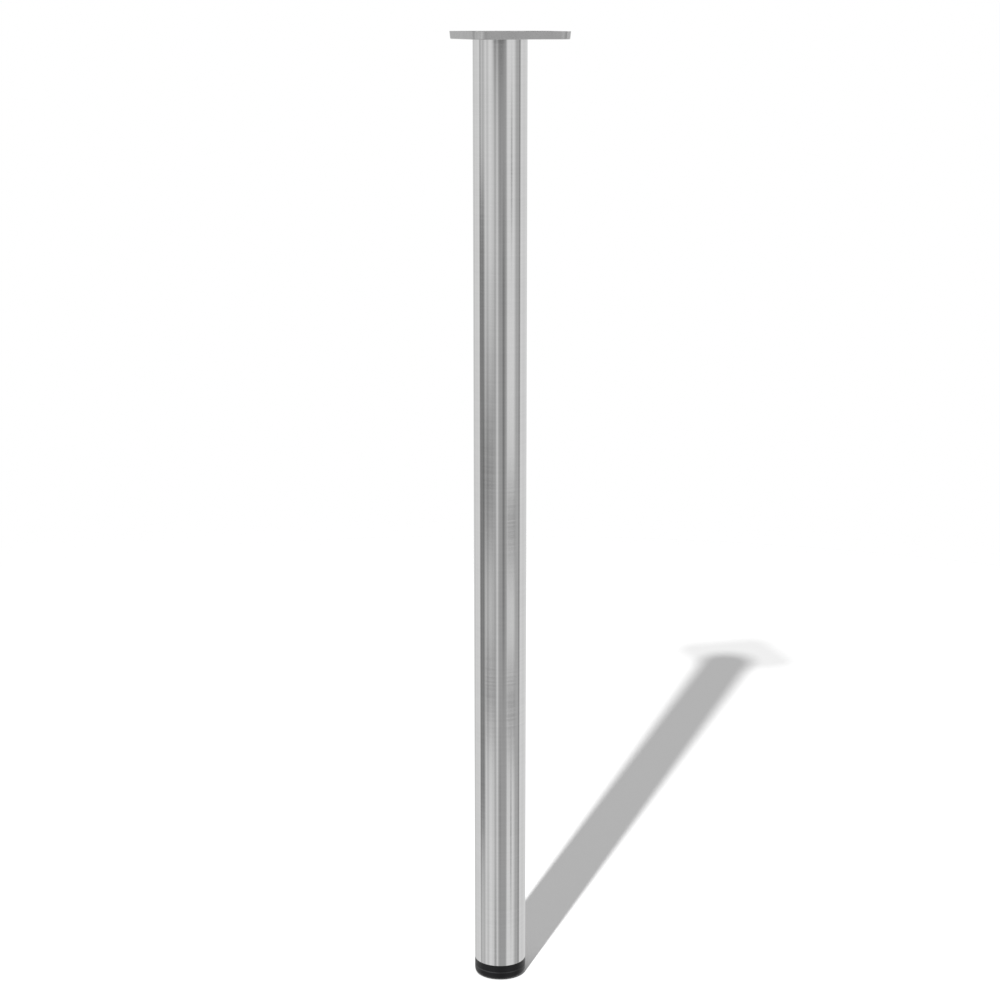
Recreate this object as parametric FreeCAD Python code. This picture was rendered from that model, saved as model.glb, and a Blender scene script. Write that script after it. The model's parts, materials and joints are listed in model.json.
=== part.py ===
import FreeCAD, Part

import math
import os

from FreeCAD import Rotation, Vector

# Height adjustable table leg: a round steel tube under a square cast mounting plate, with a
# screw foot. Millimetres. The origin is where the leg's axis meets the floor, +Z is up, and
# the plate's sides lie along X and Y. The foot is screwed right in.

# Tube
tube_diameter = 60.0
tube_wall = 1.0
tube_length = 1073.2

# Mounting plate, a casting that is open towards the table top
plate_side = 114.0
plate_thickness = 8.5
plate_corner_radius = 16.0
plate_chamfer = 0.7
plate_draft = 6.0  # degrees, the rim narrows downwards
plate_web = 3.0
rim_wall = 3.2
recess_draft = 2.0  # degrees
rib_thickness = 2.6
tube_margin = 12.0  # from the plate's two near sides to the tube

# Wood screw holes in the plate's corners
screw_inset = 14.0  # from the plate's sides to a hole's axis
screw_hole_diameter = 5.5
screw_boss_diameter = 15.0
countersink_diameter = 11.0

# Spigot under the plate, which the tube is pushed onto
spigot_length = 30.0
spigot_wall = 4.0
spigot_clearance = 0.1
spigot_lead_in = 1.5

# Grub screw that locks the tube on the spigot
grub_diameter = 8.0
grub_length = 10.0
grub_socket = 4.0  # across flats
grub_socket_depth = 4.5
grub_drop = 14.0  # from the plate's underside to the screw's axis
grub_recess = 0.5  # below the tube's outside
grub_boss_wall = 3.0
grub_hole_clearance = 0.3

# Nylon insert in the tube's lower end
collar_height = 8.0
collar_chamfer = 0.5
plug_length = 30.0
plug_wall = 2.5
plug_clearance = 0.05
crush_rib_height = 1.1
crush_rib_width = 1.6
crush_rib_count = 8
insert_floor = 4.0
insert_web = 2.2
insert_web_count = 6
hub_wall = 2.7
nut_cover = 4.0  # nylon below and above the nut

# Hexagon nut moulded into the insert
thread_diameter = 10.0
thread_clearance = 0.05
nut_across_flats = 17.0
nut_height = 8.0

# Spindle, a hexagon head screw held in the foot
spindle_head_height = 4.0
spindle_end_chamfer = 1.0
spindle_hole_clearance = 0.5
foot_travel = 20.0
thread_beyond_nut = 2.0

# Foot, turned by hand
foot_height = 10.0
foot_gap = 0.3  # to the collar when it is screwed right in
foot_edge_round = 4.5
foot_edge_flats = 2  # turned flats that follow the round
foot_top_chamfer = 0.6
foot_land = 1.5  # ring round the glide
foot_hub_wall = 2.2
foot_rib = 1.8
foot_rib_count = 8
head_clearance = 0.1

# Floor glide, which snaps into the foot and stays still while the foot turns
glide_thickness = 3.0
glide_proud = 0.2  # below the foot
glide_chamfer = 0.5
glide_bead = 0.6
glide_bead_height = 0.8
glide_clearance = 0.3

rib_bite = 1.0  # how far a moulded rib runs into what carries it

tube_radius = tube_diameter / 2
bore_radius = tube_radius - tube_wall
spigot_radius = bore_radius - spigot_clearance
thread_radius = thread_diameter / 2
grub_radius = grub_diameter / 2
nut_corner_radius = nut_across_flats / 2 / math.cos(math.radians(30))

collar_bottom = foot_height + foot_gap
tube_bottom = collar_bottom + collar_height
plate_bottom = tube_bottom + tube_length
plate_top = plate_bottom + plate_thickness
web_top = plate_bottom + plate_web
grub_height = plate_bottom - grub_drop
nut_bottom = collar_bottom + insert_floor + nut_cover
nut_top = nut_bottom + nut_height

plate_offset = plate_side / 2 - tube_margin - tube_radius
plate_centre = Vector(plate_offset, plate_offset, 0)
screw_reach = plate_side / 2 - screw_inset
diagonal = 45.0  # the plate is the same on both sides of its diagonal through the tube

glide_radius = tube_radius - foot_edge_round - foot_land
head_bottom = glide_thickness + glide_clearance
head_top = head_bottom + spindle_head_height
spindle_top = nut_top + foot_travel + thread_beyond_nut


def disc(radius, bottom, height):
    return Part.makeCylinder(radius, height, Vector(0, 0, bottom))


def ring(outer, inner, bottom, height):
    return disc(outer, bottom, height).cut(disc(inner, bottom, height))


def turned(edges):
    profile = Part.Face(Part.Wire(edges))
    return profile.revolve(Vector(0, 0, 0), Vector(0, 0, 1), 360)


def outline(points):
    """A closed profile in the XZ plane from (radius, height) points."""
    corners = [Vector(radius, 0, height) for radius, height in points]
    return Part.makePolygon(corners + corners[:1]).Edges


def hexagon(across_flats, bottom, height, turn=diagonal):
    reach = across_flats / 2 / math.cos(math.radians(30))
    corners = []
    for step in range(6):
        angle = math.radians(turn + 60 * step)
        corners.append(Vector(reach * math.cos(angle), reach * math.sin(angle), bottom))
    base = Part.Face(Part.makePolygon(corners + corners[:1]))
    return base.extrude(Vector(0, 0, height))


def spokes(inner, outer, thickness, bottom, height, count, start=diagonal):
    arms = []
    for step in range(count):
        arm = Part.makeBox(outer - inner, thickness, height, Vector(inner, -thickness / 2, bottom))
        arm.rotate(Vector(0, 0, 0), Vector(0, 0, 1), start + 360 / count * step)
        arms.append(arm)
    return arms


def rounded_square(side, radius, height):
    half = side / 2
    straight = half - radius
    diagonal_reach = straight + radius * math.sqrt(0.5)
    edges = []
    for quarter in range(4):
        turn = Rotation(Vector(0, 0, 1), 90 * quarter)
        start = turn.multVec(Vector(half, -straight, 0))
        bend = turn.multVec(Vector(half, straight, 0))
        middle = turn.multVec(Vector(diagonal_reach, diagonal_reach, 0))
        end = turn.multVec(Vector(straight, half, 0))
        edges.append(Part.makeLine(start, bend))
        edges.append(Part.Arc(bend, middle, end).toShape())
    wire = Part.Wire(edges)
    wire.translate(plate_centre + Vector(0, 0, height))
    return wire


def drafted_block(side, radius, top, bottom, draft):
    inset = (top - bottom) * math.tan(math.radians(draft))
    lower = rounded_square(side - 2 * inset, radius - inset, bottom)
    upper = rounded_square(side, radius, top)
    return Part.makeLoft([lower, upper], True, True)


def outwards(shape):
    """Turns a shape made along +X to point at the middle of the plate, at the grub screw."""
    shape.rotate(Vector(0, 0, 0), Vector(0, 0, 1), diagonal)
    shape.translate(Vector(0, 0, grub_height))
    return shape


def screw_places():
    places = []
    for x in (-screw_reach, screw_reach):
        for y in (-screw_reach, screw_reach):
            places.append(plate_centre + Vector(x, y, 0))
    return places


def plate_ribs():
    """Stiffening inside the rim: a cross, its diagonals, screw bosses and the spigot's ring."""
    depth = plate_top - web_top
    long_side = plate_side * math.sqrt(2)
    ribs = [ring(spigot_radius, spigot_radius - spigot_wall, web_top, depth)]
    for angle in range(0, 180, 45):
        rib = Part.makeBox(
            long_side, rib_thickness, depth, Vector(-long_side / 2, -rib_thickness / 2, web_top)
        )
        rib.rotate(Vector(0, 0, 0), Vector(0, 0, 1), angle)
        rib.translate(plate_centre)
        ribs.append(rib)
    for place in screw_places():
        boss = disc(screw_boss_diameter / 2, web_top, depth)
        boss.translate(place)
        ribs.append(boss)
    return ribs[0].multiFuse(ribs[1:])


def plate_spigot():
    inner = spigot_radius - spigot_wall
    low = plate_bottom - spigot_length
    wall = turned(
        outline(
            [
                (inner, low),
                (spigot_radius - spigot_lead_in, low),
                (spigot_radius, low + spigot_lead_in),
                (spigot_radius, plate_bottom),
                (inner, plate_bottom),
            ]
        )
    )
    reach = grub_radius + grub_boss_wall
    start = tube_radius - grub_recess - grub_length + spigot_clearance
    span = spigot_radius - spigot_wall / 2 - start
    boss = Part.makeCylinder(reach, span, Vector(start, 0, 0), Vector(1, 0, 0))
    neck = Part.makeBox(span, 2 * reach, grub_drop, Vector(start, -reach, 0))
    return wall.multiFuse([outwards(boss), outwards(neck)])


def mounting_plate():
    block = drafted_block(
        plate_side, plate_corner_radius, plate_top, plate_bottom, plate_draft
    )
    lower_edges = [e for e in block.Edges if e.BoundBox.ZMax < plate_bottom + 0.01]
    block = block.makeChamfer(min(plate_chamfer, plate_web / 2), lower_edges)
    recess = drafted_block(
        plate_side - 2 * rim_wall,
        plate_corner_radius - rim_wall,
        plate_top,
        web_top,
        recess_draft,
    )
    body = block.cut(recess.cut(plate_ribs())).fuse(plate_spigot())
    drills = []
    sink = (countersink_diameter - screw_hole_diameter) / 2
    for place in screw_places():
        drill = disc(screw_hole_diameter / 2, plate_bottom, plate_thickness)
        head = Part.makeCone(
            countersink_diameter / 2, screw_hole_diameter / 2, sink, Vector(0, 0, plate_bottom)
        )
        drill = drill.fuse(head)
        drill.translate(place)
        drills.append(drill)
    thread = Part.makeCylinder(
        grub_radius + thread_clearance, tube_radius, Vector(0, 0, 0), Vector(1, 0, 0)
    )
    drills.append(outwards(thread))
    return body.cut(drills).removeSplitter()


def tube():
    wall = ring(tube_radius, bore_radius, tube_bottom, tube_length)
    hole = Part.makeCylinder(
        grub_radius + grub_hole_clearance, 2 * tube_radius, Vector(0, 0, 0), Vector(1, 0, 0)
    )
    return wall.cut(outwards(hole))


def grub_screw():
    point = grub_radius / 2
    body = turned(
        outline(
            [
                (0, 0),
                (point, 0),
                (grub_radius, grub_radius - point),
                (grub_radius, grub_length),
                (0, grub_length),
            ]
        )
    )
    socket = hexagon(grub_socket, grub_length - grub_socket_depth, grub_socket_depth, 0)
    body = body.cut(socket)
    body.rotate(Vector(0, 0, 0), Vector(0, 1, 0), 90)
    body.translate(Vector(tube_radius - grub_recess - grub_length, 0, 0))
    return outwards(body)


def tube_end_insert():
    """A collar under the tube's end, a ribbed plug in its bore and a hub round the nut."""
    wall_outer = bore_radius - plug_clearance - crush_rib_height
    wall_inner = wall_outer - plug_wall
    floor_top = collar_bottom + insert_floor
    hub_radius = nut_corner_radius + hub_wall
    hub_top = nut_top + nut_cover
    hub_height = hub_top - floor_top
    collar = turned(
        outline(
            [
                (0, collar_bottom),
                (tube_radius - collar_chamfer, collar_bottom),
                (tube_radius, collar_bottom + collar_chamfer),
                (tube_radius, tube_bottom),
                (wall_inner, tube_bottom),
                (wall_inner, floor_top),
                (0, floor_top),
            ]
        )
    )
    pieces = [
        ring(wall_outer, wall_inner, tube_bottom, plug_length),
        disc(hub_radius, floor_top, hub_height),
    ]
    pieces += spokes(
        hub_radius - rib_bite, wall_inner + rib_bite, insert_web, floor_top, hub_height,
        insert_web_count,
    )
    pieces += spokes(
        wall_outer - rib_bite, bore_radius - plug_clearance, crush_rib_width, tube_bottom,
        plug_length, crush_rib_count,
    )
    body = collar.multiFuse(pieces)
    hole = disc(thread_radius + spindle_hole_clearance, collar_bottom, hub_top - collar_bottom)
    return body.cut([hole, hexagon(nut_across_flats, nut_bottom, nut_height)]).removeSplitter()


def insert_nut():
    nut = hexagon(nut_across_flats, nut_bottom, nut_height)
    return nut.cut(disc(thread_radius + thread_clearance, nut_bottom, nut_height))


def spindle():
    shank = turned(
        outline(
            [
                (0, head_top),
                (thread_radius, head_top),
                (thread_radius, spindle_top - spindle_end_chamfer),
                (thread_radius - spindle_end_chamfer, spindle_top),
                (0, spindle_top),
            ]
        )
    )
    return hexagon(nut_across_flats, head_bottom, spindle_head_height).fuse(shank)


def glide_bead_span():
    """The lowest and highest point of the bead round the glide's rim."""
    middle = glide_thickness - glide_bead_height
    return middle - glide_bead_height / 2, middle + glide_bead_height / 2


def foot():
    """A shell with a rounded lower edge, a hub round the spindle's head and ribs between."""
    side_round = min(foot_edge_round, foot_height - glide_proud - foot_top_chamfer)
    recess = glide_radius + glide_clearance
    groove = recess + glide_bead
    bead_low, bead_high = glide_bead_span()
    groove_low = bead_low - glide_clearance
    groove_high = bead_high + glide_clearance
    lower_edge = []
    for step in range(foot_edge_flats + 1):
        angle = math.radians(90 / foot_edge_flats * step)
        reach = tube_radius - side_round + side_round * math.sin(angle)
        lower_edge.append((reach, glide_proud + side_round - side_round * math.cos(angle)))
    shell = turned(
        outline(
            lower_edge
            + [
                (tube_radius, foot_height - foot_top_chamfer),
                (tube_radius - foot_top_chamfer, foot_height),
                (0, foot_height),
                (0, head_top),
                (recess, head_top),
                (recess, groove_high),
                (groove, groove_high),
                (groove, groove_low),
                (recess, groove_low),
                (recess, glide_proud),
            ]
        )
    )
    hub_radius = nut_corner_radius + foot_hub_wall
    hub = disc(hub_radius, head_bottom, spindle_head_height)
    ribs = spokes(
        hub_radius - rib_bite, recess + rib_bite, foot_rib, head_bottom, spindle_head_height,
        foot_rib_count,
    )
    body = shell.multiFuse([hub] + ribs)
    pocket = hexagon(nut_across_flats + 2 * head_clearance, head_bottom, spindle_head_height)
    shank_hole = disc(thread_radius + head_clearance, head_top, foot_height - head_top)
    return body.cut([pocket, shank_hole]).removeSplitter()


def foot_glide():
    bead = glide_radius + glide_bead
    bead_low, bead_high = glide_bead_span()
    return turned(
        outline(
            [
                (0, 0),
                (glide_radius - glide_chamfer, 0),
                (glide_radius, glide_chamfer),
                (glide_radius, bead_low),
                (bead, bead_low),
                (bead, bead_high),
                (glide_radius, bead_high),
                (glide_radius, glide_thickness),
                (0, glide_thickness),
            ]
        )
    )


os.makedirs("parts", exist_ok=True)
nodes = {
    "mounting_plate": mounting_plate(),
    "tube": tube(),
    "grub_screw": grub_screw(),
    "tube_end_insert": tube_end_insert(),
    "insert_nut": insert_nut(),
    "spindle": spindle(),
    "foot": foot(),
    "foot_glide": foot_glide(),
}
for name, shape in nodes.items():
    solid = shape.Solids[0] if len(shape.Solids) == 1 else shape
    solid.exportStep("parts/" + name + ".step")
    print(name, len(shape.Solids), "solid,", round(shape.Volume / 1000, 2), "cm3,", shape.isValid())
print("height", round(plate_top, 3), "travel", foot_travel, "plate offset", plate_offset)
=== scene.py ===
import json
import math

import bmesh
import bpy
from mathutils import Matrix, Vector

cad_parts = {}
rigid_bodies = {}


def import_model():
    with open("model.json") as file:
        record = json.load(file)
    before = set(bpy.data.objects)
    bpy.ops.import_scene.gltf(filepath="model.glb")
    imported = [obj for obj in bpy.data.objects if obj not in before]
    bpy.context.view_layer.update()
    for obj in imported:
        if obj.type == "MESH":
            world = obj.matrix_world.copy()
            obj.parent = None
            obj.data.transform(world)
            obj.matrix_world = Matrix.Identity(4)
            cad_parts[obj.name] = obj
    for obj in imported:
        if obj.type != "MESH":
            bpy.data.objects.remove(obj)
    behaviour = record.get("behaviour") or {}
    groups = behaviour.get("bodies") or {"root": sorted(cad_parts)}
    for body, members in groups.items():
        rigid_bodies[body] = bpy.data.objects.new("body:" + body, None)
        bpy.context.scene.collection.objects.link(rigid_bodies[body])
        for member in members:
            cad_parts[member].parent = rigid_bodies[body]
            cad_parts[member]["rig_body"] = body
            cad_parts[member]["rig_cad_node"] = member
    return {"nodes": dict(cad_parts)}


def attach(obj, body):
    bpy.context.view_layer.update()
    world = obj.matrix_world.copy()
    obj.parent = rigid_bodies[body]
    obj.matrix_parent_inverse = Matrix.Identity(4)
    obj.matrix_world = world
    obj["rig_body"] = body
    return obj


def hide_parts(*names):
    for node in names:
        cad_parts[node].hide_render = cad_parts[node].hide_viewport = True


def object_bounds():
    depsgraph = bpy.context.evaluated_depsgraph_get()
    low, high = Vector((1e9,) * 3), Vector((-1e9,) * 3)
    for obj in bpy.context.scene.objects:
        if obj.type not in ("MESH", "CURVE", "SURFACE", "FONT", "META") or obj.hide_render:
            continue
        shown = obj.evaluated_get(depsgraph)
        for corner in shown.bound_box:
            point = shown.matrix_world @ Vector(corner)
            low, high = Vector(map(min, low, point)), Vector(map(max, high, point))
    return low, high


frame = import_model()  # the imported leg, one object per part, in metres
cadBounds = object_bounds()
bpy.ops.object.select_all(action="DESELECT")

mm = 0.001
weld = 0.001  # mm, points nearer than this are one
towardsGrub = math.radians(45)  # the grub screw faces the middle of the plate
hexagonTurn = math.radians(15)  # a corner of the nut and of the spindle's head faces it too
wideRounding = 2  # mm, from here on a rounding takes four times the flats


# Small tools that the pieces share. They take sizes in mm.

def openMesh(piece, mode="FACE"):
    bpy.context.view_layer.objects.active = piece
    bpy.ops.object.mode_set(mode="EDIT")
    bpy.ops.mesh.select_mode(type=mode)
    bpy.ops.mesh.select_all(action="DESELECT")


def closeMesh():
    bpy.ops.object.mode_set(mode="OBJECT")


def sealMesh():
    # welds the seam, points the faces outwards and leaves edit mode
    bpy.ops.mesh.select_all(action="SELECT")
    bpy.ops.mesh.remove_doubles(threshold=weld * mm)
    bpy.ops.mesh.normals_make_consistent(inside=False)
    closeMesh()


def pickEdges(piece, wanted):
    # selects the edges whose two ends both pass
    mesh = bmesh.from_edit_mesh(piece.data)
    for edge in mesh.edges:
        edge.select_set(all(wanted(corner.co) for corner in edge.verts))
    bmesh.update_edit_mesh(piece.data)


def selectOnly(piece):
    bpy.ops.object.select_all(action="DESELECT")
    piece.select_set(True)
    bpy.context.view_layer.objects.active = piece


def settle(name):
    # names the piece just added and puts its place into its mesh
    piece = bpy.context.object
    piece.name = name
    piece.data.name = name
    selectOnly(piece)
    bpy.ops.object.transform_apply(location=True, rotation=True, scale=True)
    return piece


def addRod(name, radius, bottom, top, sides, turn=0.0, centre=(0.0, 0.0)):
    low, high = bottom * mm, top * mm
    bpy.ops.mesh.primitive_cylinder_add(
        vertices=sides, radius=radius * mm, depth=high - low, rotation=(0, 0, turn),
        location=(centre[0] * mm, centre[1] * mm, (low + high) / 2),
    )
    return settle(name)


def addHexagon(name, acrossFlats, bottom, top):
    reach = acrossFlats / 2 / math.cos(math.radians(30))
    return addRod(name, reach, bottom, top, 6, hexagonTurn)


def addBar(name, start, end, thickness, bottom, top, turn):
    # a flat rib that runs outwards from the leg's axis
    start, end, thickness, low, high = (
        size * mm for size in (start, end, thickness, bottom, top)
    )
    bpy.ops.mesh.primitive_cube_add(size=1, location=((start + end) / 2, 0, (low + high) / 2))
    bar = bpy.context.object
    bar.scale = (end - start, thickness, high - low)
    bar = settle(name)
    bar.rotation_euler = (0, 0, turn)
    return settle(name)


def finishWith(piece, kind, **settings):
    modifier = piece.modifiers.new(kind, kind)
    for key, value in settings.items():
        setattr(modifier, key, value)
    selectOnly(piece)
    bpy.ops.object.modifier_apply(modifier=modifier.name)


def combine(piece, tool, how="DIFFERENCE"):
    finishWith(piece, "BOOLEAN", object=tool, operation=how, solver="EXACT")
    bpy.data.objects.remove(tool)


def addRibs(piece, name, count, *sizes):
    # the same rib all round, the first one towards the grub screw
    for step in range(count):
        turn = towardsGrub + math.tau / count * step
        combine(piece, addBar(name, *sizes, turn), "UNION")


def softenEdges(piece, width, flats=2, limit=35):
    finishWith(
        piece, "BEVEL", width=width * mm, segments=flats, limit_method="ANGLE",
        angle_limit=math.radians(limit), use_clamp_overlap=True, miter_outer="MITER_ARC",
    )


def drawProfile(name, start, moves):
    # a chain of edges to spin round the leg's axis, drawn by moves of (outwards, up)
    bpy.ops.mesh.primitive_plane_add(size=1, location=(0, 0, 0))
    piece = settle(name)
    openMesh(piece, "VERT")
    bpy.ops.mesh.select_all(action="SELECT")
    bpy.ops.mesh.merge(type="CENTER")
    bpy.ops.transform.translate(value=(start[0] * mm, 0, start[1] * mm))
    for outwards, up in moves:
        move = {"value": (outwards * mm, 0, up * mm)}
        bpy.ops.mesh.extrude_region_move(TRANSFORM_OT_translate=move)
    return piece


def roundedCorner(before, corner, after, size, flats):
    # the few points that round one corner of a profile
    toBefore = (before - corner).normalized()
    toAfter = (after - corner).normalized()
    half = toBefore.angle(toAfter) / 2
    middle = corner + (toBefore + toAfter).normalized() * (size / math.sin(half))
    start = corner + toBefore * (size / math.tan(half)) - middle
    end = corner + toAfter * (size / math.tan(half)) - middle
    sweep = start.angle_signed(end)
    points = []
    for step in range(flats + 1):
        turn = Matrix.Rotation(-sweep * step / flats, 2)
        points.append(middle + turn @ start)
    return points


def turnOnLathe(name, corners, steps, flats=3):
    # corners are (radius, height, rounding), listed round the closed profile
    places = [Vector(corner[:2]) for corner in corners]
    profile = []
    for index, (_, _, rounding) in enumerate(corners):
        if rounding > 0:
            before = places[index - 1]
            after = places[(index + 1) % len(places)]
            count = flats if rounding < wideRounding else 4 * flats
            profile += roundedCorner(before, places[index], after, rounding, count)
        else:
            profile.append(places[index])
    moves = [(there.x - here.x, there.y - here.y) for here, there in zip(profile, profile[1:])]
    piece = drawProfile(name, profile[0], moves)
    bpy.ops.mesh.select_all(action="SELECT")
    bpy.ops.mesh.edge_face_add()
    bpy.ops.mesh.delete(type="ONLY_FACE")
    bpy.ops.mesh.select_all(action="SELECT")
    bpy.ops.mesh.spin(
        steps=steps, angle=math.tau, center=(0, 0, 0), axis=(0, 0, 1), use_auto_merge=True
    )
    sealMesh()
    return piece


def copyOfNode(node, name):
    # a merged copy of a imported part, ready to be finished further
    source = frame["nodes"][node]
    piece = source.copy()
    piece.data = source.data.copy()
    piece.name = name
    piece.data.name = name
    piece.parent = None
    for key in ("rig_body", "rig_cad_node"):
        if key in piece:
            del piece[key]
    bpy.context.scene.collection.objects.link(piece)
    selectOnly(piece)
    openMesh(piece)
    bpy.ops.mesh.select_all(action="SELECT")
    bpy.ops.mesh.remove_doubles(threshold=weld * mm)
    bpy.ops.mesh.dissolve_limited(angle_limit=math.radians(0.4))
    closeMesh()
    return piece


def handOver(piece, body, material, nodes, smoothBelow=28):
    # shading, finish and the body that carries the piece
    selectOnly(piece)
    bpy.ops.object.shade_smooth_by_angle(angle=math.radians(smoothBelow))
    finishWith(piece, "WEIGHTED_NORMAL", keep_sharp=True, weight=50)
    piece.data.materials.clear()
    piece.data.materials.append(material)
    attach(piece, body)
    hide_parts(*nodes)
    print("piece", piece.name, len(piece.data.polygons), "faces")


# Finishes. Each look has a plain colour and roughness for viewers that can't read its pattern.

def newFinish(name, colour, metallic, roughness):
    material = bpy.data.materials.new(name)
    material.use_nodes = True
    shader = material.node_tree.nodes["Principled BSDF"]
    shader.inputs["Base Color"].default_value = (*colour, 1)
    shader.inputs["Metallic"].default_value = metallic
    shader.inputs["Roughness"].default_value = roughness
    return material, material.node_tree, shader


def addNode(tree, kind, **settings):
    node = tree.nodes.new(kind)
    for key, value in settings.items():
        setattr(node, key, value)
    return node


def pattern(tree, stretch, detail, rough):
    # noise on the piece's own coordinates, finer where stretch is larger
    place = addNode(tree, "ShaderNodeTexCoord")
    scale = addNode(tree, "ShaderNodeMapping")
    scale.inputs["Scale"].default_value = stretch
    noise = addNode(tree, "ShaderNodeTexNoise")
    noise.inputs["Scale"].default_value = 1
    noise.inputs["Detail"].default_value = detail
    noise.inputs["Roughness"].default_value = rough
    tree.links.new(place.outputs["Object"], scale.inputs["Vector"])
    tree.links.new(scale.outputs["Vector"], noise.inputs["Vector"])
    return noise.outputs["Fac"]


def ranged(tree, value, low, high, fromLow=0.3, fromHigh=0.7, course="LINEAR"):
    node = addNode(tree, "ShaderNodeMapRange", interpolation_type=course)
    node.inputs["From Min"].default_value = fromLow
    node.inputs["From Max"].default_value = fromHigh
    node.inputs["To Min"].default_value = low
    node.inputs["To Max"].default_value = high
    tree.links.new(value, node.inputs["Value"])
    return node.outputs["Result"]


def reckon(tree, how, first, second=0.0):
    # a Math node; either value may be a number or another node's output
    node = addNode(tree, "ShaderNodeMath", operation=how)
    for socket, value in zip(node.inputs, (first, second)):
        if isinstance(value, (int, float)):
            socket.default_value = value
        else:
            tree.links.new(value, socket)
    return node.outputs["Value"]


def tinted(tree, value, dark, light):
    # a colour between two; either may be another node's output
    node = addNode(tree, "ShaderNodeMix", data_type="RGBA")
    for socket, colour in ((node.inputs["A"], dark), (node.inputs["B"], light)):
        if isinstance(colour, tuple):
            socket.default_value = (*colour, 1)
        else:
            tree.links.new(colour, socket)
    tree.links.new(value, node.inputs["Factor"])
    return [output for output in node.outputs if output.type == "RGBA"][0]


def raised(tree, shader, height, distance, strength=0.5):
    bump = addNode(tree, "ShaderNodeBump")
    bump.inputs["Strength"].default_value = strength
    bump.inputs["Distance"].default_value = distance * mm
    tree.links.new(height, bump.inputs["Height"])
    tree.links.new(bump.outputs["Normal"], shader.inputs["Normal"])


brushedLook = {
    "plain": (0.62, 0.62, 0.62),
    "plainRoughness": 0.2,
    "dark": (0.595, 0.595, 0.595),
    "light": (0.655, 0.655, 0.655),
    "roughness": (0.075, 0.1),
    "anisotropy": 0.6,
    "turn": 0.25,  # a quarter turn, which draws the highlights out along the tube
    "hair": (55, 55, 3200),  # finest brush lines, round the tube
    "line": (16, 16, 460),
    "cloud": (9, 9, 14),  # slow change of the plating
    "depth": 0.006,  # mm
}


def makeBrushedNickel(look):
    material, tree, shader = newFinish(
        "brushedNickel", look["plain"], 1, look["plainRoughness"]
    )
    hair = pattern(tree, look["hair"], 4, 0.7)
    line = pattern(tree, look["line"], 2, 0.5)
    cloud = pattern(tree, look["cloud"], 2, 0.5)
    tone = reckon(tree, "ADD", ranged(tree, hair, 0, 0.35), ranged(tree, line, 0, 0.4))
    tone = reckon(tree, "ADD", tone, ranged(tree, cloud, 0, 0.25))
    colour = tinted(tree, tone, look["dark"], look["light"])
    tree.links.new(colour, shader.inputs["Base Color"])
    tree.links.new(ranged(tree, line, *look["roughness"]), shader.inputs["Roughness"])
    shader.inputs["Anisotropic"].default_value = look["anisotropy"]
    shader.inputs["Anisotropic Rotation"].default_value = look["turn"]
    around = addNode(tree, "ShaderNodeTangent", direction_type="RADIAL", axis="Z")
    tree.links.new(around.outputs["Tangent"], shader.inputs["Tangent"])
    raised(tree, shader, reckon(tree, "ADD", hair, line), look["depth"])
    return material


castingLook = {
    "plain": (0.4, 0.4, 0.4),
    "plainRoughness": 0.38,
    "dark": (0.385, 0.385, 0.385),
    "light": (0.45, 0.45, 0.45),
    "roughness": (0.18, 0.25),
    "grain": 1500,
    "blotch": 60,
    "depth": 0.01,  # mm
}


def makeSatinNickel(look):
    material, tree, shader = newFinish(
        "satinNickelCasting", look["plain"], 1, look["plainRoughness"]
    )
    grain = pattern(tree, (look["grain"],) * 3, 3, 0.65)
    blotch = pattern(tree, (look["blotch"],) * 3, 3, 0.55)
    tone = reckon(tree, "ADD", ranged(tree, grain, 0, 0.4), ranged(tree, blotch, 0, 0.6))
    colour = tinted(tree, tone, look["dark"], look["light"])
    tree.links.new(colour, shader.inputs["Base Color"])
    tree.links.new(ranged(tree, blotch, *look["roughness"]), shader.inputs["Roughness"])
    raised(tree, shader, reckon(tree, "ADD", grain, blotch), look["depth"])
    return material


zincLook = {
    "plain": (0.68, 0.69, 0.71),
    "plainRoughness": 0.24,
    "dark": (0.6, 0.62, 0.67),
    "light": (0.72, 0.72, 0.7),
    "roughness": (0.18, 0.32),
    "film": 180,
    "grain": 1800,
    "depth": 0.006,
}

oxideLook = {
    "plain": (0.05, 0.05, 0.052),
    "plainRoughness": 0.42,
    "dark": (0.035, 0.035, 0.037),
    "light": (0.075, 0.075, 0.08),
    "roughness": (0.34, 0.5),
    "film": 700,
    "grain": 700,
    "depth": 0.01,
}


def makeScrewMetal(name, look):
    material, tree, shader = newFinish(name, look["plain"], 1, look["plainRoughness"])
    film = pattern(tree, (look["film"],) * 3, 3, 0.6)
    grain = pattern(tree, (look["grain"],) * 3, 3, 0.6)
    colour = tinted(tree, ranged(tree, film, 0, 1), look["dark"], look["light"])
    tree.links.new(colour, shader.inputs["Base Color"])
    tree.links.new(ranged(tree, grain, *look["roughness"]), shader.inputs["Roughness"])
    raised(tree, shader, grain, look["depth"])
    return material


plastics = {
    "specular": 0.2,
    "flow": (70, 70, 240),  # how the plastic filled the mould
    "bump": 0.6,
}

nylonLook = {
    "dark": (0.003, 0.003, 0.0035),
    "light": (0.008, 0.008, 0.0085),
    "roughness": (0.36, 0.46),
    "grain": 2600,
    "depth": 0.012,
}

footLook = {
    "dark": (0.003, 0.003, 0.0035),
    "light": (0.007, 0.007, 0.0075),
    "roughness": (0.28, 0.38),
    "grain": 1900,
    "depth": 0.01,
    "paintedHighlight": (0.045, 0.045, 0.047),  # painted highlight: its upper edge is made lighter, standing in for the light that its rounding catches
    "paintedHighlightFrom": 8.6,  # mm above the floor
    "paintedHighlightTo": 9.4,
}

glideLook = {
    "dark": (0.05, 0.05, 0.054),
    "light": (0.085, 0.085, 0.09),
    "roughness": (0.6, 0.78),
    "grain": 1400,
    "depth": 0.03,
}


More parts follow.
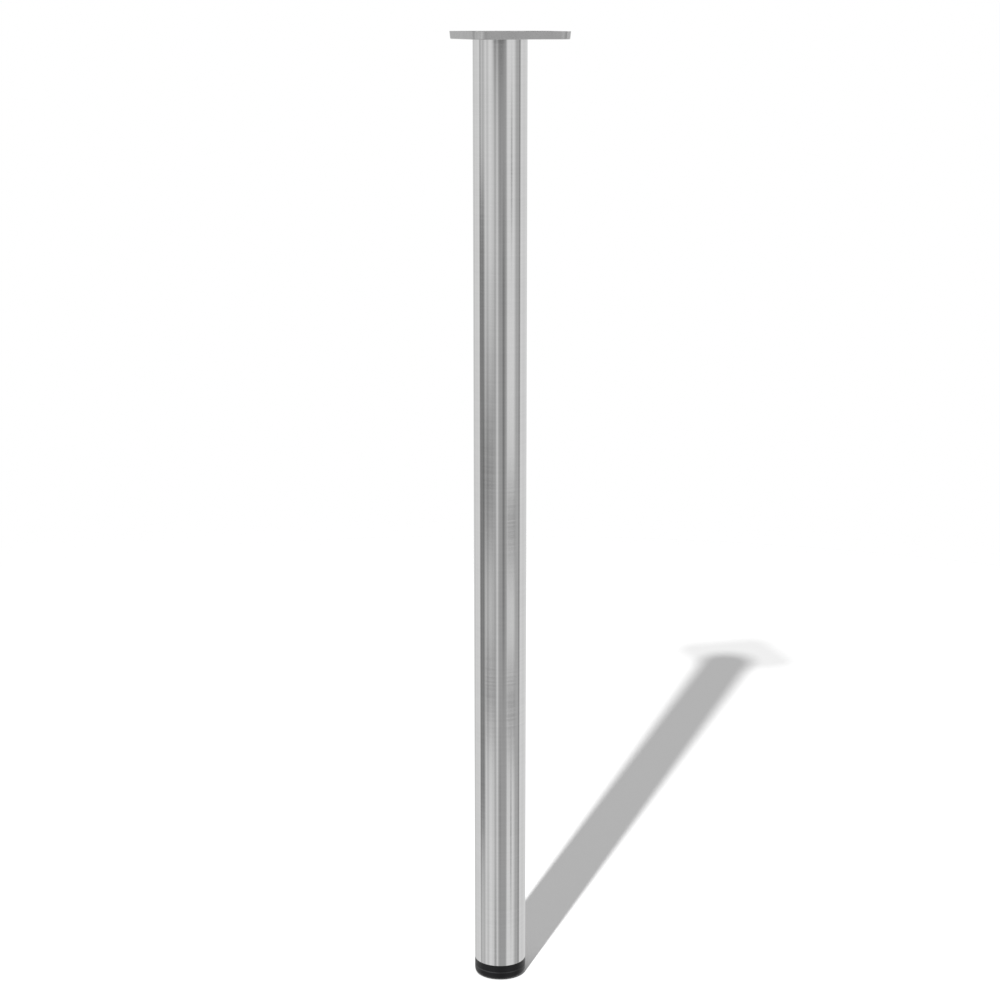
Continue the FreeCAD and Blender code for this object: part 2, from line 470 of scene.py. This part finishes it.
def makeMouldedPlastic(name, look):
    material, tree, shader = newFinish(name, look["light"], 0, sum(look["roughness"]) / 2)
    shader.inputs["Specular IOR Level"].default_value = plastics["specular"]
    grain = pattern(tree, (look["grain"],) * 3, 2, 0.55)
    flow = pattern(tree, plastics["flow"], 3, 0.55)
    tone = reckon(tree, "ADD", ranged(tree, grain, 0, 0.5), ranged(tree, flow, 0, 0.5))
    colour = tinted(tree, tone, look["dark"], look["light"])
    # a lighter band between two heights: a painted highlight on the piece's upper edge
    if "paintedHighlight" in look:
        place = addNode(tree, "ShaderNodeTexCoord")
        split = addNode(tree, "ShaderNodeSeparateXYZ")
        tree.links.new(place.outputs["Object"], split.inputs["Vector"])
        low, high = look["paintedHighlightFrom"] * mm, look["paintedHighlightTo"] * mm
        edge = ranged(tree, split.outputs["Z"], 0, 1, low, high)
        edge = reckon(tree, "MULTIPLY", edge, ranged(tree, flow, 0.4, 1))
        colour = tinted(tree, edge, colour, look["paintedHighlight"])
    tree.links.new(colour, shader.inputs["Base Color"])
    tree.links.new(ranged(tree, flow, *look["roughness"]), shader.inputs["Roughness"])
    height = reckon(tree, "ADD", grain, ranged(tree, flow, 0, 0.6))
    raised(tree, shader, height, look["depth"], plastics["bump"])
    return material


brushedNickel = makeBrushedNickel(brushedLook)
satinNickel = makeSatinNickel(castingLook)
brightZinc = makeScrewMetal("brightZinc", zincLook)
blackOxide = makeScrewMetal("blackOxide", oxideLook)
blackNylon = makeMouldedPlastic("blackNylon", nylonLook)
blackPlastic = makeMouldedPlastic("blackPlastic", footLook)
softGlide = makeMouldedPlastic("softGlide", glideLook)
print("finishes ready")


# Tube

tubeSizes = {
    "radius": 30.0,
    "wall": 1.0,
    "bottom": 18.3,
    "top": 1091.5,
    "edge": 0.2,  # how far its ends are broken
    "windowHeight": 1077.5,
    "windowRadius": 4.3,
    "windowEdge": 0.2,
    "windowBand": 9.0,  # the long faces are split this far above and below the window
    "cutterLength": 12.0,
    "cutterSides": 48,
    "slack": 0.02,  # how far off the window's rim a point may be and still count
    "steps": 256,
}


def makeTube(size):
    inner = size["radius"] - size["wall"]
    corners = [
        (inner, size["bottom"], size["edge"]),
        (size["radius"], size["bottom"], size["edge"]),
        (size["radius"], size["top"], size["edge"]),
        (inner, size["top"], size["edge"]),
    ]
    tube = turnOnLathe("brushedTube", corners, size["steps"], 2)
    openMesh(tube)
    for band in (-size["windowBand"], size["windowBand"]):
        height = (size["windowHeight"] + band) * mm
        bpy.ops.mesh.select_all(action="SELECT")
        bpy.ops.mesh.bisect(plane_co=(0, 0, height), plane_no=(0, 0, 1))
    closeMesh()
    out = Vector((math.cos(towardsGrub), math.sin(towardsGrub), 0))
    middle = out * (size["radius"] * mm)
    middle.z = size["windowHeight"] * mm
    bpy.ops.mesh.primitive_cylinder_add(
        vertices=size["cutterSides"], radius=size["windowRadius"] * mm,
        depth=size["cutterLength"] * mm, location=middle,
        rotation=(0, math.radians(90), towardsGrub),
    )
    combine(tube, settle("windowCutter"))
    slack = size["slack"] * mm

    def onWindowRim(corner):
        along = corner.dot(out)
        aside = (corner - out * along - Vector((0, 0, size["windowHeight"] * mm))).length
        outside = Vector((corner.x, corner.y)).length > size["radius"] * mm - slack
        return outside and along > 0 and abs(aside - size["windowRadius"] * mm) < slack

    openMesh(tube, "EDGE")
    pickEdges(tube, onWindowRim)
    bpy.ops.mesh.bevel(offset=size["windowEdge"] * mm, segments=2, affect="EDGES")
    closeMesh()
    handOver(tube, "leg", brushedNickel, ["tube"])


makeTube(tubeSizes)


# Mounting plate, with the marks that the ejector pins leave between its ribs

plateSizes = {
    "edge": 0.35,
    "centre": (15.0, 15.0),
    "web": 1094.5,
    "pins": 8,
    "pinRing": 38.0,  # their distance from the plate's centre
    "pinRadius": 2.6,
    "pinSides": 32,
    "pinHeight": 0.18,
    "pinRoot": 0.3,  # how deep each mark starts in the web
    "pinEdge": 0.08,
    "spigotClear": 35.0,  # no pin stands over the spigot
}


def makePlate(size):
    plate = copyOfNode("mounting_plate", "plateCasting")
    softenEdges(plate, size["edge"])
    low = size["web"] - size["pinRoot"]
    high = size["web"] + size["pinHeight"]
    marks = []
    for step in range(size["pins"]):
        angle = math.tau * (step + 0.5) / size["pins"]
        spot = (
            size["centre"][0] + size["pinRing"] * math.cos(angle),
            size["centre"][1] + size["pinRing"] * math.sin(angle),
        )
        if math.hypot(*spot) < size["spigotClear"]:
            continue
        mark = addRod("pinMark", size["pinRadius"], low, high, size["pinSides"], 0, spot)
        openMesh(mark, "EDGE")
        pickEdges(mark, lambda corner: corner.z > size["web"] * mm)
        bpy.ops.mesh.bevel(offset=size["pinEdge"] * mm, segments=1, affect="EDGES")
        closeMesh()
        marks.append(mark)
    # the marks are sunk in the web and joined to the casting as shells of their own
    selectOnly(plate)
    for mark in marks:
        mark.select_set(True)
    bpy.ops.object.join()
    handOver(plate, "leg", satinNickel, ["mounting_plate"])


makePlate(plateSizes)


# Grub screw in the spigot

grubSizes = {"edge": 0.15}


def makeGrubScrew(size):
    screw = copyOfNode("grub_screw", "grubScrew")
    softenEdges(screw, size["edge"])
    handOver(screw, "leg", blackOxide, ["grub_screw"])


makeGrubScrew(grubSizes)


# Nylon insert in the tube's lower end

insertSizes = {
    "hole": 5.5,
    "holeEdge": 0.3,
    "radius": 30.0,
    "bottom": 10.3,
    "edge": 0.6,
    "shoulder": 18.3,
    "shoulderEdge": 0.15,
    "plugRadius": 27.85,
    "plugInner": 25.35,
    "plugTop": 48.3,
    "plugEdge": 0.5,
    "floor": 14.3,
    "fillet": 0.5,
    "hubRadius": 12.515,
    "hubTop": 30.3,
    "lip": 0.4,  # rounding inside the plug's mouth and round the hub
    "nutBottom": 18.3,
    "nutTop": 26.3,
    "nutAcrossFlats": 17.0,
    "web": 2.2,
    "webs": 6,
    "crushRib": 1.6,
    "crushRibTop": 28.95,
    "crushRibRoot": 0.5,  # how deep it starts in the collar
    "crushRibs": 8,
    "bite": 1.0,  # how far webs and ribs run into the walls that they join
    "steps": 192,
}


def makeInsert(size):
    insert = turnOnLathe(
        "nylonInsert",
        [
            (size["hole"], size["bottom"], size["holeEdge"]),
            (size["radius"], size["bottom"], size["edge"]),
            (size["radius"], size["shoulder"], size["shoulderEdge"]),
            (size["plugRadius"], size["shoulder"], 0),
            (size["plugRadius"], size["plugTop"], size["plugEdge"]),
            (size["plugInner"], size["plugTop"], size["lip"]),
            (size["plugInner"], size["floor"], size["fillet"]),
            (size["hubRadius"], size["floor"], size["fillet"]),
            (size["hubRadius"], size["hubTop"], size["lip"]),
            (size["hole"], size["hubTop"], size["holeEdge"]),
        ],
        size["steps"],
    )
    bite = size["bite"]
    addRibs(
        insert, "web", size["webs"], size["hubRadius"] - bite, size["plugInner"] + bite,
        size["web"], size["floor"] - bite, size["hubTop"],
    )
    addRibs(
        insert, "crushRib", size["crushRibs"], size["plugRadius"] - bite, size["crushRibTop"],
        size["crushRib"], size["shoulder"] - size["crushRibRoot"], size["plugTop"],
    )
    combine(
        insert, addHexagon("nutPocket", size["nutAcrossFlats"], size["nutBottom"], size["nutTop"])
    )
    handOver(insert, "leg", blackNylon, ["tube_end_insert"])


makeInsert(insertSizes)


# Foot

footSizes = {
    "radius": 30.0,
    "bottom": 0.2,
    "top": 10.0,
    "lowerRound": 4.5,
    "upperRound": 1.2,
    "shankHole": 5.1,
    "edge": 0.2,
    "recess": 24.3,
    "groove": 24.9,
    "grooveLow": 1.5,
    "grooveHigh": 2.9,
    "roof": 7.3,
    "fillet": 0.4,
    "hubRadius": 12.015,
    "hubBottom": 3.3,
    "hubEdge": 0.3,
    "headAcrossFlats": 17.2,
    "rib": 1.8,
    "ribs": 8,
    "bite": 1.0,  # how far the ribs run into the hub and the roof
    "wallBite": 0.8,
    "steps": 192,
}


def makeFoot(size):
    foot = turnOnLathe(
        "turnedFoot",
        [
            (size["shankHole"], size["top"], size["edge"]),
            (size["radius"], size["top"], size["upperRound"]),
            (size["radius"], size["bottom"], size["lowerRound"]),
            (size["recess"], size["bottom"], size["edge"]),
            (size["recess"], size["grooveLow"], 0),
            (size["groove"], size["grooveLow"], 0),
            (size["groove"], size["grooveHigh"], 0),
            (size["recess"], size["grooveHigh"], 0),
            (size["recess"], size["roof"], size["fillet"]),
            (size["hubRadius"], size["roof"], size["fillet"]),
            (size["hubRadius"], size["hubBottom"], size["hubEdge"]),
            (size["shankHole"], size["hubBottom"], 0),
        ],
        size["steps"],
    )
    bite = size["bite"]
    addRibs(
        foot, "footRib", size["ribs"], size["hubRadius"] - bite, size["recess"] + size["wallBite"],
        size["rib"], size["hubBottom"], size["roof"] + bite,
    )
    low = size["hubBottom"] - bite
    combine(foot, addHexagon("headPocket", size["headAcrossFlats"], low, size["roof"]))
    handOver(foot, "foot", blackPlastic, ["foot"])


makeFoot(footSizes)


# Floor glide under the foot

glideSizes = {
    "radius": 24.0,
    "thickness": 3.0,
    "edge": 0.5,
    "topEdge": 0.3,
    "bead": 24.6,
    "beadLow": 1.8,
    "beadHigh": 2.6,
    "beadEdge": 0.25,
    "rings": ((13.0, 11.6), (20.0, 18.6)),  # shallow grooves in its underside
    "ringDepth": 0.3,
    "ringEdge": 0.1,
    "gate": 1.6,  # radius of the dimple where the plastic came in
    "steps": 160,
}


def makeGlide(size):
    deep, edge = size["ringDepth"], size["ringEdge"]
    underside = [(size["gate"], deep, 0), (size["gate"], 0, edge)]
    for outer, inner in size["rings"]:
        underside += [(inner, 0, edge), (inner, deep, 0), (outer, deep, 0), (outer, 0, edge)]
    glide = turnOnLathe(
        "floorGlide",
        [
            (0, size["thickness"], 0),
            (0, deep, 0),
            *underside,
            (size["radius"], 0, size["edge"]),
            (size["radius"], size["beadLow"], 0),
            (size["bead"], size["beadLow"], size["beadEdge"]),
            (size["bead"], size["beadHigh"], size["beadEdge"]),
            (size["radius"], size["beadHigh"], 0),
            (size["radius"], size["thickness"], size["topEdge"]),
        ],
        size["steps"],
    )
    handOver(glide, "glide", softGlide, ["foot_glide"])


makeGlide(glideSizes)


# Spindle with its M10 thread

spindleSizes = {
    "headAcrossFlats": 17.0,
    "headBottom": 3.3,
    "headTop": 7.3,
    "headEdge": 0.3,
    "shank": 4.7,
    "pitch": 1.5,
    "crest": 5.0,
    "root": 4.08,
    "threadBottom": 8.3,
    "top": 48.3,
    "chamfer": 1.0,
    "trim": 0.01,  # how far below its top the thread is cut
    "spare": 1.0,  # how far the blank and the shank run past what they join or trim
    "overlap": 0.2,  # how far the shank runs into the thread
    "steps": 40,
}


def makeSpindle(size):
    pitch, spare = size["pitch"], size["spare"]
    turns = math.ceil((size["top"] - size["threadBottom"]) / pitch) + 2
    crest = size["crest"] - size["root"]
    flank = pitch * 5 / 16
    thread = drawProfile(
        "threadedSpindle",
        (size["root"], size["threadBottom"] - pitch),
        ((0, pitch / 4), (crest, flank), (0, pitch / 8), (-crest, flank)),
    )
    closeMesh()
    finishWith(
        thread, "SCREW", axis="Z", angle=math.tau, screw_offset=pitch * mm, steps=size["steps"],
        render_steps=size["steps"], iterations=turns, use_merge_vertices=True,
        merge_threshold=2 * weld * mm, use_smooth_shade=False,
    )
    openMesh(thread, "EDGE")
    for height, above in ((size["threadBottom"], False), (size["top"] - size["trim"], True)):
        bpy.ops.mesh.select_all(action="SELECT")
        bpy.ops.mesh.bisect(
            plane_co=(0, 0, height * mm), plane_no=(0, 0, 1), clear_outer=above,
            clear_inner=not above, use_fill=True,
        )
    sealMesh()
    blank = turnOnLathe(
        "spindleBlank",
        [
            (0, size["threadBottom"] - 2 * spare, 0),
            (size["crest"] + spare, size["threadBottom"] - 2 * spare, 0),
            (size["crest"] + spare, size["top"] - size["chamfer"] - spare, 0),
            (size["crest"] - size["chamfer"], size["top"], 0),
            (0, size["top"], 0),
        ],
        size["steps"] * 2,
    )
    combine(thread, blank, "INTERSECT")
    shank = turnOnLathe(
        "spindleShank",
        [
            (0, size["headTop"] - spare, 0),
            (size["shank"], size["headTop"] - spare, 0),
            (size["shank"], size["threadBottom"] + size["overlap"], 0),
            (0, size["threadBottom"] + size["overlap"], 0),
        ],
        size["steps"] * 2,
    )
    combine(thread, shank, "UNION")
    head = addHexagon(
        "spindleHead", size["headAcrossFlats"], size["headBottom"], size["headTop"]
    )
    softenEdges(head, size["headEdge"])
    combine(thread, head, "UNION")
    handOver(thread, "foot", brightZinc, ["spindle"])


makeSpindle(spindleSizes)

# The nut is buried in the nylon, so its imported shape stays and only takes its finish
nut = frame["nodes"]["insert_nut"]
nut.data.materials.clear()
nut.data.materials.append(brightZinc)
print("pieces ready")


# Floor, camera and lights

floorSizes = {
    "radius": 2.6,
    "sides": 128,
    "fadeFrom": 1.6,
    "fadeTo": 2.4,
    "colour": 0.9,
    "seenColour": 1.0,  # what the camera sees, so that it is as white as the backdrop
    "roughness": 0.9,
}


def makeFloor(size):
    bpy.ops.mesh.primitive_circle_add(
        vertices=size["sides"], radius=size["radius"], fill_type="NGON"
    )
    floor = settle("studioFloor")
    plain = (size["colour"],) * 3
    seen = (size["seenColour"],) * 3
    material, tree, shader = newFinish("studioFloor", plain, 0, size["roughness"])
    shader.inputs["Specular IOR Level"].default_value = 0.0
    path = addNode(tree, "ShaderNodeLightPath")
    colour = tinted(tree, path.outputs["Is Camera Ray"], plain, seen)
    tree.links.new(colour, shader.inputs["Base Color"])
    place = addNode(tree, "ShaderNodeTexCoord")
    reach = addNode(tree, "ShaderNodeVectorMath", operation="LENGTH")
    tree.links.new(place.outputs["Object"], reach.inputs[0])
    fade = ranged(tree, reach.outputs["Value"], 0, 1, size["fadeFrom"], size["fadeTo"])
    side = addNode(tree, "ShaderNodeNewGeometry")
    away = reckon(tree, "MAXIMUM", fade, side.outputs["Backfacing"])
    clear = addNode(tree, "ShaderNodeBsdfTransparent")
    mix = addNode(tree, "ShaderNodeMixShader")
    output = tree.nodes["Material Output"]
    tree.links.new(away, mix.inputs["Fac"])
    tree.links.new(shader.outputs["BSDF"], mix.inputs[1])
    tree.links.new(clear.outputs["BSDF"], mix.inputs[2])
    tree.links.new(mix.outputs["Shader"], output.inputs["Surface"])
    floor.data.materials.append(material)
    floor.visible_glossy = False  # metal shows the studio's backdrop, not the floor's shade
    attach(floor, "glide")  # the leg stands on it at any height


makeFloor(floorSizes)

cameraSetup = {
    "azimuth": -15.8,  # degrees round the leg
    "distance": 2.4,
    "sideways": -0.0001,
    "height": 1.114,
    "tilt": 12.607,  # degrees downwards
    "lens": 77.58,
    "sensor": 36,
}


def placeCamera(setup):
    turn = math.radians(setup["azimuth"])
    back = Vector((math.sin(turn), -math.cos(turn), 0))
    right = Vector((math.cos(turn), math.sin(turn), 0))
    place = back * setup["distance"] + right * setup["sideways"]
    place.z = setup["height"]
    bpy.ops.object.camera_add(
        location=place, rotation=(math.radians(90 - setup["tilt"]), 0, turn)
    )
    camera = bpy.context.object
    camera.name = "studioCamera"
    camera.data.lens = setup["lens"]
    camera.data.sensor_width = setup["sensor"]
    bpy.context.scene.camera = camera


placeCamera(cameraSetup)

keyLight = {
    "power": 40.0,
    "plateShare": 0.33,  # how much of its light the plate keeps off the floor
    "radius": 0.042,
    "away": 2.76,  # from the leg, along the floor
    "height": 3.35,
    "towards": 33.4,  # degrees from +Y to +X, where its shadow falls
}


def placeKeyLight(setup):
    # two small lamps in one place, one of which the plate doesn't block, so that the plate's
    # shadow is fainter than the tube's; their light doesn't weaken with distance
    turn = math.radians(setup["towards"])
    place = Vector((-math.sin(turn), -math.cos(turn), 0)) * setup["away"]
    place.z = setup["height"]
    allButPlate = bpy.data.collections.new("allButPlate")
    allButPlate.objects.link(bpy.data.objects["plateCasting"])
    allButPlate.collection_objects[0].light_linking.link_state = "EXCLUDE"
    for share, blockers in ((1 - setup["plateShare"], allButPlate), (setup["plateShare"], None)):
        bpy.ops.object.light_add(type="POINT", location=place)
        lamp = bpy.context.object
        lamp.name = "keyLight"
        lamp.light_linking.blocker_collection = blockers
        lamp.data.energy = setup["power"] * share
        lamp.data.shadow_soft_size = setup["radius"]
        lamp.data.use_nodes = True
        tree = lamp.data.node_tree
        falloff = addNode(tree, "ShaderNodeLightFalloff")
        falloff.inputs["Strength"].default_value = 1.0
        tree.links.new(falloff.outputs["Constant"], tree.nodes["Emission"].inputs["Strength"])
        lamp.visible_glossy = False  # the metal shows the tent alone


placeKeyLight(keyLight)

cardLights = {
    "height": 1.0,
    "away": 2.0,
    "level": 0.62,
    # each card is (degrees from the camera's side, width, power)
    "cards": ((-38.0, 7.5, 9.4), (84.0, 2.4, 1.2)),
}


def placeCardLights(setup):
    # soft lights that only the plate's casting shows, on its rounded corners
    lit = bpy.data.collections.new("litByCards")
    lit.objects.link(bpy.data.objects["plateCasting"])
    plateTop = Vector((0, 0, cadBounds[1][2]))
    for angle, width, power in setup["cards"]:
        turn = math.radians(angle + cameraSetup["azimuth"])
        place = Vector((math.sin(turn), -math.cos(turn), 0)) * setup["away"]
        place.z = setup["level"]
        aim = (plateTop - place).to_track_quat("-Z", "Y").to_euler()
        bpy.ops.object.light_add(type="AREA", location=place, rotation=aim)
        lamp = bpy.context.object
        lamp.name = "cardLight"
        lamp.data.shape = "RECTANGLE"
        lamp.data.size = width
        lamp.data.size_y = setup["height"]
        lamp.data.energy = power
        lamp.visible_camera = False
        lamp.visible_diffuse = False
        lamp.light_linking.receiver_collection = lit


placeCardLights(cardLights)

# The studio is a white tent with upright grey flags. Angles are degrees from the camera's side,
# to the right as it sees the leg. Each flag is (angle, half width, soft edge, darkness).
studio = {
    "fill": 0.45,  # plain light on everything
    "white": 0.98,
    "flags": (
        (-180, 70, 12, 0.09),
        (180, 70, 12, 0.09),
        (-172, 5, 6, 0.38),
        (-148, 6, 8, 0.22),
        (158, 3, 4, 0.24),
        (171, 2, 3, 0.3),
        (-94, 3.5, 5.5, 0.46),
        (-78, 8, 8, 0.32),
        (-56, 4, 6, 0.22),
        (-33, 3, 4, 0.10),
        (-21, 4, 7, 0.36),
        (-7, 2, 5, 0.30),
        (0, 2, 4, 0.03),
        (11.5, 16.5, 5, 0.50),
        (81, 14, 9, 0.42),
        (92, 3, 4, 0.50),
    ),
    # darker areas of the tent, with their height, half height and soft edge in degrees as well
    "shades": (
        (-84, 12, 8, -13, 8.6, 1.0, 0.58),
        (-95, 4, 5, -13, 9.8, 0.8, 0.13),
        (-45, 24, 10, -11.5, 1, 6, 0.42),
        (-55, 26, 8, -12.1, 1.5, 1.2, 0.34),
        (-45, 24, 10, -17.6, 1, 1, 0.60),
        (15, 4, 5, -11, 6, 2, 0.46),
        (50, 2, 4.5, -3.8, 1.5, 1.2, 0.56),
        (50, 2, 4.5, -21.6, 1.5, 1.2, 0.56),
        (50, 20, 7, -13.3, 1.0, 0.9, 0.62),
        (50, 20, 7, -18.1, 1.0, 0.9, 0.62),
        (28, 2, 3.5, -14, 9.5, 1.5, 0.17),
        (0, 3, 5, -4.5, 1.6, 1.2, 0.15),
        (0, 3, 5, -20.9, 0.9, 1.5, 0.24),
        (-8, 22, 7, 4, 5.2, 1.2, 0.50),
        (17, 6, 3, 0.6, 0.9, 0.3, 0.30),
        (-21, 5, 4, -24.5, 0.3, 1.2, 0.40),
    ),
}


def lightStudio(setup):
    world = bpy.data.worlds.new("studioTent")
    bpy.context.scene.world = world
    world.use_nodes = True
    world.cycles.sampling_method = "NONE"  # so that metal sees the flags at full contrast
    tree = world.node_tree
    tree.nodes.clear()
    direction = addNode(tree, "ShaderNodeTexCoord")
    turn = addNode(tree, "ShaderNodeVectorRotate", rotation_type="Z_AXIS")
    turn.inputs["Angle"].default_value = -math.radians(cameraSetup["azimuth"])
    split = addNode(tree, "ShaderNodeSeparateXYZ")
    tree.links.new(direction.outputs["Generated"], turn.inputs["Vector"])
    tree.links.new(turn.outputs["Vector"], split.inputs["Vector"])
    inDegrees = 180 / math.pi
    towards = reckon(tree, "MULTIPLY", split.outputs["Y"], -1.0)
    angle = reckon(tree, "ARCTAN2", split.outputs["X"], towards)
    angle = reckon(tree, "MULTIPLY", angle, inDegrees)
    level = reckon(tree, "ARCSINE", split.outputs["Z"])
    level = reckon(tree, "MULTIPLY", level, inDegrees)

    def near(value, centre, reach, soft):
        # 1 within reach of the centre, and 0 past the soft edge
        away = reckon(tree, "ABSOLUTE", reckon(tree, "SUBTRACT", value, centre))
        return ranged(tree, away, 0, 1, reach + soft, max(reach - soft, 0), "SMOOTHSTEP")

    def dimmed(light, shade, darkness):
        shade = reckon(tree, "ADD", reckon(tree, "MULTIPLY", shade, -darkness), 1.0)
        return reckon(tree, "MULTIPLY", light, shade)

    light = setup["white"]
    for centre, reach, soft, darkness in setup["flags"]:
        light = dimmed(light, near(angle, centre, reach, soft), darkness)
    for centre, reach, soft, height, tall, blur, darkness in setup["shades"]:
        across = near(angle, centre, reach, soft)
        upright = near(level, height, tall, blur)
        light = dimmed(light, reckon(tree, "MULTIPLY", across, upright), darkness)

    path = addNode(tree, "ShaderNodeLightPath")
    shiny = addNode(tree, "ShaderNodeMix", data_type="FLOAT")
    tree.links.new(path.outputs["Is Glossy Ray"], shiny.inputs[0])
    shiny.inputs[2].default_value = setup["fill"]
    tree.links.new(light, shiny.inputs[3])
    seen = addNode(tree, "ShaderNodeMix", data_type="FLOAT")
    direct = reckon(
        tree, "ADD", path.outputs["Is Camera Ray"], path.outputs["Is Transmission Ray"]
    )
    tree.links.new(direct, seen.inputs[0])
    tree.links.new(shiny.outputs[0], seen.inputs[2])
    seen.inputs[3].default_value = 1.0
    background = addNode(tree, "ShaderNodeBackground")
    background.inputs["Color"].default_value = (1, 1, 1, 1)
    tree.links.new(seen.outputs[0], background.inputs["Strength"])
    output = addNode(tree, "ShaderNodeOutputWorld")
    tree.links.new(background.outputs["Background"], output.inputs["Surface"])


lightStudio(studio)
bpy.context.scene.view_settings.view_transform = "Standard"
print("studio ready")
